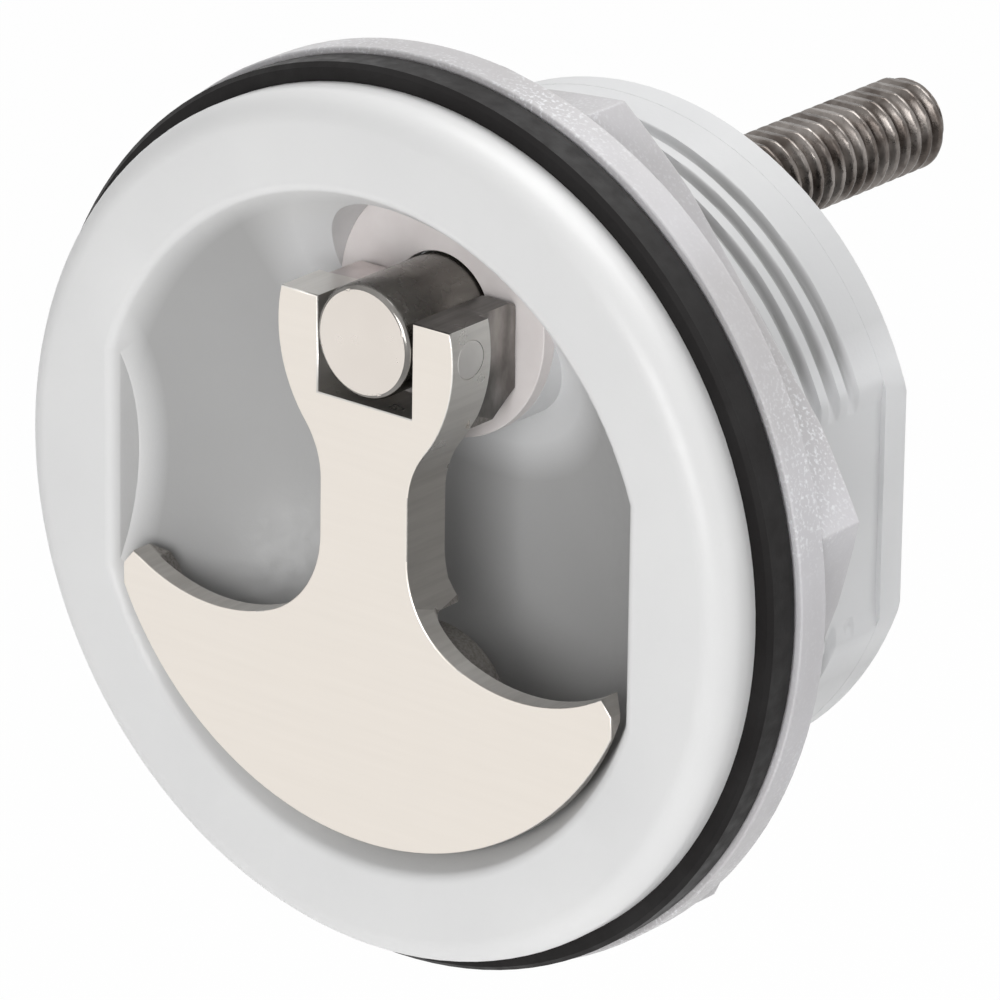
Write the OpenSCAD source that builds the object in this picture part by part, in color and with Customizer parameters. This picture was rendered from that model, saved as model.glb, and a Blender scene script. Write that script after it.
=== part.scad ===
// Flush compression latch with a folding T handle, for a round hole in a panel.
// Local frame of the shapes: x to the right, y up, z out of the panel, with z = 0 on the panel's face.
// The last step turns the whole latch so that the panel stands upright and the handle faces -Y.

/* [Flange] */
// Outer diameter of the flange
flange_d = 76.2; // [74:0.1:80]
// Thickness of the flange
flange_t = 4.4; // [3.4:0.1:6]
// Radius of the flange's outer front edge
flange_round = 2.6; // [0.5:0.1:2.8]

/* [Recess] */
// Diameter of the recess opening
recess_d = 59.8; // [59.2:0.1:60.4]
// Depth of the bowl below the flange's front
recess_depth = 18; // [17:0.1:19]
// Distance between the two straight sides of the recess
recess_w = 55.6; // [55:0.1:57]
// Radius of the recess's front edge
recess_round = 1.1; // [0.4:0.1:2]
// Thickness of the bowl's wall
bowl_wall = 2.8; // [2:0.1:3.4]

/* [Barrel] */
// Outer diameter of the barrel, which passes through the panel
barrel_d = 61; // [60:0.1:62]
// Distance between the barrel's two flat sides
barrel_flats = 57.4; // [55:0.1:58]
// Length of the barrel behind the panel's face
barrel_length = 29.3; // [28.8:0.1:34]
// Thickness of the barrel's wall
barrel_wall = 2.6; // [2:0.1:3.2]
// Width of the bevel on the barrel's rear edge
barrel_bevel = 0.25; // [0.2:0.05:0.6]
// Length of the plain band round the barrel's rear end
band_l = 2.9; // [2:0.1:4]
// Height of that band above the root of the thread and above the flats
band_step = 0.5; // [0.3:0.05:0.8]

/* [Gasket] */
// Outer diameter of the gasket
gasket_d = 79.4; // [77:0.1:84]
// Thickness of the gasket
gasket_t = 3.5; // [2:0.1:4.5]
// Gap between the gasket and the barrel
gasket_gap = 0.3; // [0.1:0.05:1]
// Width of the bevel on the gasket's edges
gasket_bevel = 0.4; // [0.1:0.1:1]

/* [Panel nut] */
// Diameter of the nut's washer face
nut_face_d = 80.4; // [78:0.1:84]
// Thickness of the nut's washer face
nut_face_t = 3.3; // [2:0.1:4]
// Thickness of the whole nut
nut_t = 10.4; // [8:0.1:12]
// Distance across the nut's corners
nut_corners = 80; // [76:0.1:82]
// Turn of the nut on the barrel, in degrees
nut_turn = 9.3; // [0:0.1:60]
// Gap between the nut and the barrel, where the threads are left out
nut_gap = 0.15; // [0.05:0.05:0.4]
// Height of the bevel on the nut's corners
nut_bevel = 1.8; // [0.5:0.1:3]
// Width of that bevel
nut_bevel_w = 3.8; // [2:0.1:4.4]

/* [Shaft] */
// Height of the shaft's axis above the middle of the flange
shaft_y = 17.3; // [17:0.05:17.6]
// Diameter of the shaft
shaft_d = 10; // [9.6:0.05:10.4]
// Height of the shaft's front end above the flange's front
shaft_proud = 0.2; // [-0.2:0.1:0.8]
// Radius of the shaft's front edge
shaft_round = 0.6; // [0.4:0.05:1]
// Gap between the shaft and its bore in the housing
shaft_gap = 0.06; // [0.03:0.01:0.1]
// Diameter of the threaded rod
rod_d = 8.7; // [8.6:0.05:9.5]
// Distance across the rod's two flats
rod_flats = 8.1; // [8.1:0.05:8.4]
// Length of the rod and shaft behind the panel's face
rod_reach = 68.2; // [60:0.1:90]
// Width of the bevel on the rod's end
rod_bevel = 0.8; // [0.3:0.1:1.2]

/* [Land and boss] */
// Diameter of the round land that the handle's cams slide on
land_d = 22.1; // [21.8:0.1:22.4]
// Depth of the land below the flange's front
land_depth = 10.15; // [9.8:0.05:10.5]
// Thickness of the wear disc on the land
wear_t = 1.5; // [1:0.1:2]
// Thickness of the plastic behind the wear disc
land_wall = 2.6; // [2:0.1:3.5]
// Diameter of the boss that guides the shaft
boss_d = 16; // [15:0.1:17]
// Distance from the panel's face to the boss's rear end
boss_reach = 13.4; // [12.6:0.1:14]
// Thickness of the ribs that hold the boss
rib_t = 2; // [1.4:0.1:3]
// Gap between the wear disc and the shaft
wear_gap = 0.18; // [0.1:0.02:0.4]

/* [Handle] */
// Height of the handle's front above the flange's front
handle_proud = -0.1; // [-0.4:0.1:0.3]
// Width of the handle's fork
fork_w = 18.9; // [18.4:0.1:19.2]
// Gap between the fork and the shaft, on each side
fork_gap = 0.1; // [0.05:0.01:0.2]
// Width of the handle's stem
stem_w = 9.5; // [9:0.1:10.4]
// Thickness of the stem and fork
stem_t = 5; // [4.4:0.1:5.3]
// Thickness of the crescent
blade_t = 2; // [1.6:0.1:2.6]
// Radius of the crescent's outer edge
crescent_r = 29.75; // [29.2:0.05:30]
// Height of the middle of the crescent's outer edge
crescent_y = 1.9; // [1.6:0.1:2.4]
// Gap between the handle's tips and the recess's straight sides
tip_gap = 1.1; // [0.9:0.05:1.3]
// Height of the tips, measured down from the middle of the flange
tip_drop = 7.9; // [7.4:0.1:8.3]
// Half the distance between the points of the tips
tip_x = 25.6; // [25.2:0.1:26]
// Radius of the finger scoops
scoop_r = 17; // [16.6:0.1:17.4]
// Half the distance between the middles of the finger scoops
scoop_x = 16.5; // [16.1:0.1:16.9]
// Radius of the curve from the stem into a scoop
root_r = 8.9; // [8.5:0.1:9.3]
// Radius of the fork's outer cheeks
cheek_r = 13.5; // [13:0.1:14.5]
// Radius of the curve from the stem into the fork
neck_r = 7.4; // [6.8:0.1:8]
// Slope of the bevels beside the points of the tips
tip_slope = 1.2; // [0.6:0.05:1.3]
// Thickness of the lugs behind the tips
lug_t = 3.9; // [3:0.1:4.2]
// Width of those lugs, measured in from the points of the tips
lug_w = 4.6; // [4:0.1:6]
// Height of the step from the stem to the thinner crescent, above the tips
step_up = 2; // [1:0.1:2.4]
// Height of the small heel behind that step
heel_r = 0.4; // [0.3:0.05:0.8]
// Diameter of the boss behind the crescent
pad_d = 15.5; // [14:0.1:17]
// Height of the middle of that boss, measured down from the middle of the flange
pad_drop = 18.55; // [18:0.1:19.5]
// Thickness of the handle at that boss
pad_t = 10.4; // [9:0.1:10.8]
// Height of the straight part of the crescent's two sides
side_t = 1.2; // [0.8:0.1:2]
// Slope of those sides behind the straight part, as width over depth
side_slope = 1.1; // [0.8:0.05:1.6]
// Gap between the back of the crescent and the bowl
bowl_gap = 0.6; // [0.4:0.05:1]

/* [Cams and pin] */
// Diameter of the pivot pin
pin_d = 3.4; // [2.8:0.05:3.6]
// Depth of the pin's axis below the handle's front
pin_depth = 2.4; // [2.2:0.05:2.6]
// Gap between the pin and its hole in the shaft
pin_gap = 0.05; // [0.02:0.01:0.1]
// Length of the shaft's travel over the lift of the handle
shaft_travel = 4.63; // [4.4:0.01:4.7]
// Gap between the cams and the land
cam_gap = 0.15; // [0.1:0.01:0.3]
// Width over the two cams
cams_w = 16.2; // [15.6:0.1:16.6]
// Distance from the pin's height down to the cams' lower corner
cam_drop = 4.85; // [4.4:0.05:5.2]

/* [Seals and spring] */
// Thickness of a seal ring
seal_d = 1.56; // [1.4:0.02:1.7]
// Distance from the panel's face to the front seal ring
seal_reach = 5.2; // [4.8:0.1:5.6]
// Distance between the two seal rings
seal_pitch = 2.6; // [2.4:0.1:3]
// Thickness of the spring's wire
spring_wire = 1.4; // [1.1:0.05:1.5]
// Outer diameter of the spring
spring_d = 14; // [13.8:0.1:15]
// Length of the spring with the handle folded
spring_length = 11.8; // [11:0.1:12.6]
// Number of turns of the spring
spring_turns = 6; // [5:1:7]
// Outer diameter of the spring's seat washer
seat_d = 16.6; // [15.6:0.1:18]
// Thickness of the seat washer
seat_t = 1.2; // [1:0.1:1.6]
// Outer diameter of the retaining clip
clip_d = 14.4; // [13:0.1:15]
// Thickness of the retaining clip
clip_t = 1.1; // [0.8:0.05:1.2]
// Depth of the clip's groove in the shaft
clip_bite = 0.9; // [0.6:0.05:1.1]
// Width of the clip's mouth
clip_mouth = 6.4; // [5:0.1:7]

/* [Hidden] */
$fn = 96;

// How far a cutting shape runs past the faces that it cuts
past = 1;

// Heights along z, from the panel's face
flange_back = gasket_t;
flange_front = flange_back + flange_t;
handle_front = flange_front + handle_proud;
shaft_front = flange_front + shaft_proud;
pin_z = handle_front - pin_depth;
land_z = flange_front - land_depth;
wear_back = land_z - wear_t;
land_back = wear_back - land_wall;
boss_back = -boss_reach;
barrel_back = -barrel_length;
seat_front = boss_back - spring_length;
seat_back = seat_front - seat_t;
clip_back = seat_back - clip_t;
rod_back = -rod_reach;
shaft_back = clip_back - clip_t;

// The bowl is part of a sphere through the recess's opening and its deepest point
bowl_r = (pow(recess_d / 2, 2) + pow(recess_depth, 2)) / (2 * recess_depth);
bowl_z = flange_front - recess_depth + bowl_r;

// Radii of the shaft's line
shaft_r = shaft_d / 2;
bore_r = shaft_r + shaft_gap;
rod_r = rod_d / 2;
land_r = land_d / 2;
land_rim = land_r + bowl_wall;
root_d = barrel_d - 2 * band_step;
root_flats = barrel_flats - 2 * band_step;
barrel_inner_r = barrel_d / 2 - barrel_wall;
barrel_inner_flats = barrel_flats - 2 * barrel_wall;

// Directions of the ribs round the boss
rib_turns = [90, 215, 325];

// Each cam pushes the shaft by the same length for each degree of lift. Its curve is drawn from the
// height of the pin's axis above the land, after a lift of a degrees.
cam_rate = shaft_travel / (PI / 2);
function cam_height(a) = pin_z - land_z - cam_gap - cam_rate * a * PI / 180;
function cam_point(a) = [cam_height(a) * sin(a) - cam_rate * cos(a),
                         -cam_height(a) * cos(a) - cam_rate * sin(a)];
cam_top = cam_point(90)[0];
cam_steps = 18;
cam_heel = 2;

// Curves of the handle's front outline. Arcs that meet smoothly overlap by the lap, so that they cross,
// and heights where two pieces meet are rounded, so that they meet exactly.
lap = 0.004;
function tidy(v) = round(1000 * v) / 1000;
cheek_up = 3;
root_x = stem_w / 2 + root_r;
scoop_y = tidy(sqrt(pow(scoop_r, 2) - pow(tip_x - scoop_x, 2)) - tip_drop - lap);
root_y = tidy(scoop_y - sqrt(pow(scoop_r - root_r + lap, 2) - pow(scoop_x - root_x, 2)));
root_join = tidy(scoop_x - (scoop_x - root_x) * scoop_r / (scoop_r - root_r));
side_x = recess_w / 2 - tip_gap;
fork_top = tidy(shaft_y + cam_top);
cheek_x = cheek_r - fork_w / 2;
cheek_y = fork_top - cheek_up;
neck_x = stem_w / 2 + neck_r;
neck_y = tidy(cheek_y - sqrt(pow(cheek_r + neck_r - lap, 2) - pow(cheek_x + neck_x, 2)));
neck_top = tidy(neck_y + (cheek_y - neck_y) * neck_r / (cheek_r + neck_r));
cheek_low = tidy((neck_y + neck_top) / 2);
slot_gap = 0.2;
slot_floor = shaft_y - norm([shaft_r - shaft_round, shaft_front - pin_z - shaft_round]) - shaft_round - slot_gap;

// Step from the stem down to the thinner crescent
step_y = -tip_drop + step_up;
step_round = 0.9;
heel_run = 4;

// A cylinder along z between two heights
module post(r, low, high) translate([0, 0, low]) cylinder(r = r, h = high - low);

// Carries its children to the shaft's axis
module on_shaft() translate([0, shaft_y, 0]) children();

// A plate of the shape below it, between two heights
module plate(low, high) translate([0, 0, low]) linear_extrude(high - low) children();

// A bar whose section, drawn as y and z, runs along x from left to right
module bar(left, right) translate([left, 0, 0]) rotate([90, 0, 90]) linear_extrude(right - left) children();

// Turns the finished shapes upright
module upright() rotate([90, 0, 0]) children();

// The barrel's outline: a circle with two flat sides
module two_flats(d, flats) intersection() {
    circle(d = d);
    square([flats, 2 * d], center = true);
}

// Outline of a rounded front edge on the recess: a block up to the face, less a round of the wall
module flare(edge, r) difference() {
    translate([0, flange_front - r]) square([edge + r, r + past]);
    translate([edge + r, flange_front - r]) circle(r);
    translate([edge, flange_front]) square([2 * r, 2 * past]);
}

// What is cut away for the bowl and its straight sides
module recess() {
    lip_x = sqrt(pow(bowl_r + recess_round, 2) - pow(bowl_z - flange_front + recess_round, 2));
    lip_share = recess_round / (bowl_r + recess_round);
    lip_low = flange_front - recess_round + (bowl_z - flange_front + recess_round) * lip_share;
    intersection() {
        rotate_extrude() difference() {
            union() {
                intersection() {
                    translate([0, bowl_z]) circle(bowl_r, $fn = 180);
                    translate([0, -bowl_r]) square([bowl_r, bowl_r + flange_front + past]);
                }
                translate([0, lip_low]) square([lip_x, flange_front + past - lip_low]);
            }
            translate([lip_x, flange_front - recess_round]) circle(recess_round);
        }
        rotate([90, 0, 0]) linear_extrude(2 * recess_d, center = true) for (side = [0, 1]) mirror([side, 0]) {
            translate([0, -bowl_r]) square([recess_w / 2, bowl_r + flange_front + past]);
            flare(recess_w / 2, recess_round);
        }
    }
}

module housing() color([0.93, 0.93, 0.93]) upright() difference() {
    union() {
        // Flange with a rounded outer edge
        rotate_extrude() {
            translate([0, flange_back]) square([flange_d / 2 - flange_round, flange_t]);
            translate([0, flange_back]) square([flange_d / 2, flange_t - flange_round]);
            intersection() {
                translate([flange_d / 2 - flange_round, flange_front - flange_round]) circle(flange_round);
                translate([0, flange_back]) square([flange_d, flange_t]);
            }
        }
        // Barrel: the root of its thread, and the band at its end
        difference() {
            union() {
                plate(barrel_back, flange_back + past) two_flats(root_d, root_flats);
                intersection() {
                    plate(barrel_back, barrel_back + band_l) two_flats(barrel_d, barrel_flats);
                    union() {
                        translate([0, 0, barrel_back])
                            cylinder(r1 = barrel_d / 2 - barrel_bevel, r2 = barrel_d / 2, h = barrel_bevel);
                        post(barrel_d / 2 + past, barrel_back + barrel_bevel, flange_back);
                    }
                }
            }
            plate(barrel_back - past, flange_back) two_flats(2 * barrel_inner_r, barrel_inner_flats);
        }
        // Back of the bowl, the land's wall, the boss and its ribs, all inside the barrel
        intersection() {
            plate(barrel_back, flange_back + past) two_flats(root_d, root_flats);
            union() {
                translate([0, 0, bowl_z]) sphere(bowl_r + bowl_wall, $fn = 180);
                on_shaft() post(land_rim, land_back, flange_back);
                on_shaft() post(boss_d / 2, boss_back, land_back);
                for (turn = rib_turns) on_shaft() rotate(turn)
                    translate([0, -rib_t / 2, boss_back]) cube([barrel_d / 2, rib_t, land_back - boss_back]);
            }
            post(barrel_d, barrel_back, flange_back + past);
        }
    }
    // The recess leaves the pedestal under the land standing
    difference() {
        recess();
        on_shaft() post(land_r, -2 * recess_depth, wear_back);
    }
    on_shaft() post(land_r, wear_back, flange_front + past);
    on_shaft() post(bore_r, boss_back - past, flange_front);
}

module wear_disc() color([0.86, 0.83, 0.82]) upright() on_shaft() difference() {
    post(land_r, wear_back, land_z);
    post(shaft_r + wear_gap, wear_back - past, land_z + past);
}

module panel_gasket() color([0.16, 0.15, 0.15]) upright() difference() {
    union() {
        post(gasket_d / 2 - gasket_bevel, 0, gasket_t);
        post(gasket_d / 2, gasket_bevel, gasket_t - gasket_bevel);
        translate([0, 0, gasket_t - gasket_bevel])
            cylinder(r1 = gasket_d / 2, r2 = gasket_d / 2 - gasket_bevel, h = gasket_bevel);
        cylinder(r1 = gasket_d / 2 - gasket_bevel, r2 = gasket_d / 2, h = gasket_bevel);
    }
    post(barrel_d / 2 + gasket_gap, -past, gasket_t + past);
}

module panel_nut() color([0.9, 0.91, 0.93]) upright() difference() {
    union() {
        post(nut_face_d / 2, -nut_face_t, 0);
        intersection() {
            plate(-nut_t, 0) rotate(nut_turn) circle(d = nut_corners, $fn = 6);
            translate([0, 0, -nut_t]) cylinder(
                r1 = nut_corners / 2 - nut_bevel_w,
                r2 = nut_corners / 2 + nut_bevel_w * (nut_t / nut_bevel - 1),
                h = nut_t);
        }
    }
    post(barrel_d / 2 + nut_gap, -nut_t - past, past);
}

module spindle() color([0.62, 0.6, 0.57]) upright() on_shaft() difference() {
    union() {
        // Shaft with a rounded front edge, and grooves for the seals and the clip
        rotate_extrude() difference() {
            union() {
                translate([0, shaft_back]) square([shaft_r, shaft_front - shaft_round - shaft_back]);
                translate([0, shaft_back]) square([shaft_r - shaft_round, shaft_front - shaft_back]);
                translate([shaft_r - shaft_round, shaft_front - shaft_round]) circle(shaft_round);
            }
            for (n = [0, 1]) translate([bore_r - seal_d - 2 * shaft_gap, -seal_reach - n * seal_pitch])
                translate([0, -seal_d / 2 - shaft_gap]) square([seal_d + past, seal_d + 2 * shaft_gap]);
            translate([shaft_r - clip_bite, clip_back]) square([clip_bite + past, clip_t]);
        }
        // Threaded rod with two flats
        intersection() {
            union() {
                post(rod_r, rod_back + rod_bevel, shaft_back);
                translate([0, 0, rod_back]) cylinder(r1 = rod_r - rod_bevel, r2 = rod_r, h = rod_bevel);
            }
            plate(rod_back, shaft_back) square([2 * rod_d, rod_flats], center = true);
        }
    }
    translate([0, 0, pin_z]) rotate([0, 90, 0]) cylinder(d = pin_d + 2 * pin_gap, h = 2 * shaft_d, center = true);
}

// Front outline of the handle, less the slot for the shaft
module handle_outline() difference() {
    union() {
        // Cheeks of the fork
        intersection() {
            for (side = [0, 1]) mirror([side, 0]) intersection() {
                translate([-cheek_x, cheek_y]) circle(cheek_r, $fn = 180);
                translate([-fork_w, cheek_low]) square([2 * fork_w, fork_top - cheek_low]);
            }
            translate([-cheek_x, cheek_y]) circle(cheek_r, $fn = 180);
            translate([cheek_x, cheek_y]) circle(cheek_r, $fn = 180);
        }
        // Neck between the stem and the fork
        difference() {
            translate([-neck_x, neck_y]) square([2 * neck_x, neck_top - neck_y]);
            for (side = [-1, 1]) translate([side * neck_x, neck_y]) circle(neck_r);
        }
        // Stem
        translate([-stem_w / 2, root_y]) square([stem_w, neck_y - root_y]);
        // Crescent, with its tips and the curves that join it to the stem
        difference() {
            union() {
                translate([-root_join, -scoop_r]) square([2 * root_join, scoop_r + root_y]);
                // Its outer edge is cut later, all but the bevels beside the points of the tips
                polygon([[-tip_x, -tip_drop], [tip_x, -tip_drop],
                         [tip_x + 2 * crescent_r, -tip_drop - 2 * tip_slope * crescent_r],
                         [-tip_x - 2 * crescent_r, -tip_drop - 2 * tip_slope * crescent_r]]);
            }
            for (side = [0, 1]) mirror([side, 0]) {
                translate([root_x, root_y]) circle(root_r);
                intersection() {
                    translate([scoop_x, scoop_y]) circle(scoop_r, $fn = 180);
                    translate([root_join, -2 * scoop_r]) square(4 * scoop_r);
                }
            }
        }
    }
    translate([-shaft_r - fork_gap, slot_floor]) square([2 * (shaft_r + fork_gap), shaft_d * 2]);
}

// Thickness of the handle, seen from its side as y and z
module handle_side() {
    stem_back = handle_front - stem_t;
    blade_back = handle_front - blade_t;
    translate([-2 * crescent_r, blade_back]) square([4 * crescent_r, blade_t]);
    translate([step_y, stem_back]) square([2 * crescent_r, stem_t]);
    // Heel at the stem's lower end
    translate([step_y + heel_r, stem_back]) circle(heel_r);
    polygon([[step_y + heel_r, stem_back + past], [step_y + heel_r, stem_back - heel_r + lap],
             [step_y + (1 + heel_run) * heel_r, stem_back], [step_y + (1 + heel_run) * heel_r, stem_back + past]]);
    // Round between the stem's end and the crescent's back
    difference() {
        translate([step_y - step_round, blade_back - step_round]) square([step_round, step_round]);
        translate([step_y - step_round, blade_back - step_round]) circle(step_round);
    }
}

// Side outline of a cam, as y and z, with the pin's axis at the origin
module cam_side() {
    stem_back = handle_front - stem_t - pin_z;
    polygon(concat(
        [[-cam_drop, -cam_height(0)]],
        [for (n = [0:cam_steps]) cam_point(90 * n / cam_steps)],
        [[cam_top, stem_back + past], [-cam_drop - cam_heel, stem_back + past],
         [-cam_drop - cam_heel, stem_back - cam_heel]]
    ));
}

// Room for the crescent: inside its outer edge, clear of the bowl, and with sides that slope in behind
module crescent_room() intersection() {
    translate([0, crescent_y, 0]) post(crescent_r, -crescent_r, handle_front + past);
    translate([0, 0, bowl_z]) sphere(bowl_r - bowl_gap, $fn = 180);
    rotate([90, 0, 0]) linear_extrude(2 * crescent_r) polygon([
        [-side_x, handle_front + past], [-side_x, handle_front - side_t], [0, handle_front - side_t - side_x / side_slope],
        [side_x, handle_front - side_t], [side_x, handle_front + past]]);
}

module handle() color([0.8, 0.77, 0.73]) upright() difference() {
    union() {
        // Stem and fork
        intersection() {
            plate(0, handle_front) handle_outline();
            bar(-flange_d, flange_d) handle_side();
            translate([-flange_d, 0, -flange_d]) cube(2 * flange_d);
        }
        // Crescent, lugs and the boss behind it
        intersection() {
            union() {
                intersection() {
                    plate(0, handle_front) handle_outline();
                    bar(-flange_d, flange_d) handle_side();
                }
                intersection() {
                    plate(handle_front - lug_t, handle_front) handle_outline();
                    for (side = [0, 1]) mirror([side, 0, 0]) plate(0, handle_front)
                        polygon([[tip_x - lug_t / 8, -tip_drop + past], [tip_x - lug_w, -2 * tip_drop],
                                 [2 * tip_x, -2 * tip_drop], [2 * tip_x, -tip_drop + past]]);
                }
                translate([0, -pad_drop, 0]) post(pad_d / 2, handle_front - pad_t, handle_front - blade_t / 2);
            }
            crescent_room();
        }
        // Cams
        for (side = [0, 1]) mirror([side, 0, 0]) translate([0, shaft_y, pin_z])
            bar(shaft_r + fork_gap, cams_w / 2) cam_side();
    }
    translate([0, shaft_y, pin_z]) rotate([0, 90, 0]) cylinder(d = pin_d, h = 2 * fork_w, center = true);
}

module pivot_pin() color([0.68, 0.66, 0.63]) upright() intersection() {
    translate([0, shaft_y, pin_z]) rotate([0, 90, 0]) cylinder(d = pin_d, h = 2 * fork_w, center = true);
    plate(0, handle_front) for (side = [0, 1]) mirror([side, 0]) intersection() {
        translate([-cheek_x, cheek_y]) circle(cheek_r, $fn = 180);
        translate([cheek_x, cheek_y]) circle(cheek_r, $fn = 180);
    }
}

// One seal ring in its groove
module seal(place) upright() on_shaft() translate([0, 0, -seal_reach - place * seal_pitch])
    rotate_extrude() translate([bore_r - shaft_gap / 2 - seal_d / 2, 0]) circle(d = seal_d, $fn = 32);

module front_seal() color([0.1, 0.1, 0.1]) seal(0);

module rear_seal() color([0.1, 0.1, 0.1]) seal(1);

// Height of the spring's wire after a number of turns, with a closed turn at each end
spring_r = spring_d / 2 - spring_wire / 2;
spring_lift = 0.3 * spring_wire;
spring_top = spring_length - 2 * spring_lift;
spring_rise = (spring_top - 2 * spring_wire) / (spring_turns - 2);
function wire_height(turn) = turn < 1 ? spring_wire * turn
    : turn > spring_turns - 1 ? spring_top - spring_wire * (spring_turns - turn)
    : spring_wire + spring_rise * (turn - 1);
spring_sides = 8;
spring_rings = 20 * spring_turns;

module return_spring() color([0.7, 0.7, 0.7]) upright() on_shaft() translate([0, 0, seat_front]) intersection() {
    translate([0, 0, spring_lift]) polyhedron(
        points = [for (ring = [0:spring_rings], side = [0:spring_sides - 1])
            let (turn = ring * spring_turns / spring_rings, a = 360 * side / spring_sides,
                 r = spring_r + spring_wire / 2 * cos(a))
            [r * cos(360 * turn), r * sin(360 * turn), wire_height(turn) + spring_wire / 2 * sin(a)]],
        faces = concat(
            [[for (side = [0:spring_sides - 1]) side]],
            [[for (side = [spring_sides - 1:-1:0]) spring_rings * spring_sides + side]],
            [for (ring = [0:spring_rings - 1], side = [0:spring_sides - 1])
                let (next = (side + 1) % spring_sides, here = ring * spring_sides, there = here + spring_sides)
                [here + side, there + side, there + next, here + next]])
    );
    // The two ends are ground flat
    post(spring_d, 0, spring_length);
}

module spring_seat() color([0.75, 0.74, 0.72]) upright() on_shaft() difference() {
    post(seat_d / 2, seat_back, seat_front);
    post(bore_r, seat_back - past, seat_front + past);
}

module retaining_clip() color([0.5, 0.5, 0.5]) upright() on_shaft() difference() {
    post(clip_d / 2, clip_back, seat_back);
    post(shaft_r - clip_bite, clip_back - past, seat_back + past);
    plate(clip_back - past, seat_back + past) translate([-clip_mouth / 2, -clip_d]) square([clip_mouth, clip_d]);
}

housing();
wear_disc();
panel_gasket();
panel_nut();
spindle();
handle();
pivot_pin();
front_seal();
rear_seal();
return_spring();
spring_seat();
retaining_clip();
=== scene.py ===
"""Looks of the flush compression latch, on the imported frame.

Shapes are worked out in the latch's own millimetres: x to the right, y up and z out of the
panel, whose face is z = 0. The row that Blender draws is in metres, with (x, y, z) at (x, -z, y).
"""

import math

import bmesh
import bpy
import numpy as np
from mathutils import Matrix, Vector


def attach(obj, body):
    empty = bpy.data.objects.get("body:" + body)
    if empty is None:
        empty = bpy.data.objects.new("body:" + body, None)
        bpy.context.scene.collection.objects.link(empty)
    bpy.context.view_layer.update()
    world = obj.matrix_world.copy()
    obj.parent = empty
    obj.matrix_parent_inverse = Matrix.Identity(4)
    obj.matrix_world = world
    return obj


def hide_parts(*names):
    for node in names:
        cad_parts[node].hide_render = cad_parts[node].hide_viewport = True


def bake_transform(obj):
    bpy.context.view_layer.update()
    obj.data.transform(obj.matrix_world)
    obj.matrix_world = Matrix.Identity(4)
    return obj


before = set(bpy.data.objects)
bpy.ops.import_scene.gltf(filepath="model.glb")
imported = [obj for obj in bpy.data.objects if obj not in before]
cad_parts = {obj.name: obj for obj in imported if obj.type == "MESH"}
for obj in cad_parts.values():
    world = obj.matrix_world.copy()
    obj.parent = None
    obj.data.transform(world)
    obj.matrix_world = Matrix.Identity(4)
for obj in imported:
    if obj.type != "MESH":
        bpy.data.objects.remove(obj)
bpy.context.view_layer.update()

MM = 0.001
MICRON = 0.000001

# Heights and sizes shared with part.scad, in millimetres
FLANGE_BACK = 3.5
HANDLE_FRONT = 7.8
BLADE_T = 2.0
SHAFT_Y = 17.3
PIN_Z = 5.4
SHAFT_BACK = -28.6
ROD_BACK = -68.2
ROD_R = 4.35
ROD_FLAT = 4.05
ROD_BEVEL = 0.8
BARREL_R = 30.5
BARREL_FLAT = 28.7
BAND_STEP = 0.5
BAND_FRONT = -26.4
SPRING_FRONT = -13.4
SPRING_BACK = -25.2


def row(points):
    """Millimetres of the latch (x, y, z) to metres of the row (x, -z, y)."""
    points = np.asarray(points, float)
    return np.stack([points[..., 0], -points[..., 2], points[..., 1]], axis=-1) * MM


# Camera ---------------------------------------------------------------------------------------

# As fitted to the photo: the picture in pixels, angles in radians, places in millimetres
FOCAL_PX, PICTURE_PX = 8929.35, 1000
DISTANCE = 750.0
AZIMUTH, ELEVATION, ROLL = 0.67722, 0.36975, 0.013355
SHIFT_X, SHIFT_Y = -8.7559, -1.8353
SENSOR = 36
CLIP_NEAR, CLIP_FAR = 0.01, 20


def add_camera():
    """A pinhole camera DISTANCE from the flange's back, turned by azimuth, elevation and roll."""
    look = np.array([math.sin(AZIMUTH) * math.cos(ELEVATION), math.sin(ELEVATION),
                     math.cos(AZIMUTH) * math.cos(ELEVATION)])
    side = np.cross([0.0, 1.0, 0.0], look)
    side /= np.linalg.norm(side)
    top = np.cross(look, side)
    right = math.cos(ROLL) * side + math.sin(ROLL) * top
    up = -math.sin(ROLL) * side + math.cos(ROLL) * top
    eye = -SHIFT_X * right - SHIFT_Y * up + DISTANCE * look + [0, 0, FLANGE_BACK]
    columns = [*(row(axis) / MM for axis in (right, up, look)), row(eye)]
    place = Matrix.Identity(4)
    for n, column in enumerate(columns):
        for line in range(3):
            place[line][n] = column[line]
    camera = bpy.data.objects.new("camera", bpy.data.cameras.new("camera"))
    camera.matrix_world = place
    camera.data.sensor_width = SENSOR
    camera.data.lens = FOCAL_PX * SENSOR / PICTURE_PX
    camera.data.clip_start = CLIP_NEAR
    camera.data.clip_end = CLIP_FAR
    bpy.context.scene.collection.objects.link(camera)
    bpy.context.scene.camera = camera


# Materials ------------------------------------------------------------------------------------

# Between these, a noise holds nearly all of its values
NOISE_LOW, NOISE_HIGH = 0.3, 0.7

# Where the recess's painted shade (its colour painted darker to stand in for shade) begins and
# where it is full, in millimetres: depth along the row's y, distance from the flange's axis,
# distance from the middle, distance from the shaft; and the share of it kept on the land
PAINTED_SHADE_DEPTH = (-8.0, -5.0)
PAINTED_SHADE_REACH = (30.8, 30.0)
PAINTED_SHADE_SIDE = (27.8, 26.2)
PAINTED_SHADE_LAND = (13.6, 17.0)
LAND_SHADE_SHARE = 0.25

# Scales of a pattern in the row's x, y and z: it runs long where the scale is below 1
ALONG_X, ALONG_Z = (0.05, 1.0, 1.0), (1.0, 0.05, 1.0)
SHAFT_STREAKS, TURNING_MARKS, CAM_CLOUDS = (1.0, 0.25, 1.0), (1.0, 6.0, 1.0), (1.0, 1.0, 0.45)


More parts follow.
